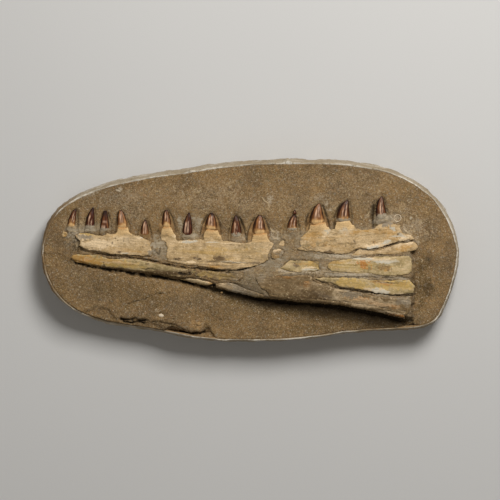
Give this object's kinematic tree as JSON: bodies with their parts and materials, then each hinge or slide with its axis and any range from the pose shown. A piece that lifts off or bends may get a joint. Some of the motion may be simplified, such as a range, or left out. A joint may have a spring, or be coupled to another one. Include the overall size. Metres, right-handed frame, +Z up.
{
  "type": "fossil mosasaur jaw in matrix slab",
  "caption": "Toothed lower jaw of a mosasaur lying on its side in an oval slab of sandy matrix, backed by a plaster field jacket that it rests on.",
  "frame": {"origin": "under the middle of the slab, on the surface that the jacket rests on", "axes": "+X from the snout to the broken rear end of the jaw, +Y from the lower edge of the jaw to its tooth row, +Z up out of the slab's face"},
  "size_m": [0.6708, 0.2915, 0.0678],
  "materials": {
    "plaster": "chalky field plaster, white where it is worn and tan with dirt",
    "matrix": "dull sandy rock with tool marks",
    "bone_pale": "cream fossil bone with a dull sheen",
    "bone_yellow": "yellow tan fossil bone with a dull sheen",
    "bone_brown": "brown fossil bone with a dull sheen",
    "enamel": "glossy red-brown tooth enamel",
    "shell": "chalky white shell"
  },
  "bodies": {
    "root": {"plaster_jacket": "plaster", "matrix": "matrix", "jaw_tip_chip": "bone_pale", "dentary_front": "bone_pale", "dentary_middle": "bone_pale", "dentary_rear": "bone_pale", "dentary_strip": "bone_pale", "dentary_splinter": "bone_pale", "orange_chip": "bone_brown", "surangular_front": "bone_yellow", "surangular_rear": "bone_yellow", "angular_strip": "bone_yellow", "angular": "bone_brown", "splenial_front": "bone_yellow", "splenial_flake": "bone_yellow", "splenial_middle": "bone_brown", "splenial_rear": "bone_brown", "tooth_01": "enamel", "tooth_02": "enamel", "tooth_03": "enamel", "tooth_04": "enamel", "tooth_05": "enamel", "tooth_06": "enamel", "tooth_07": "enamel", "tooth_08": "enamel", "tooth_09": "enamel", "tooth_10": "enamel", "tooth_11": "enamel", "tooth_11_tip": "enamel", "tooth_12": "enamel", "tooth_13": "enamel", "tooth_14": "enamel", "shell_ring": "shell", "shell_chip": "shell", "nodule": "matrix", "pebble": "matrix"}
  },
  "joints": []
}
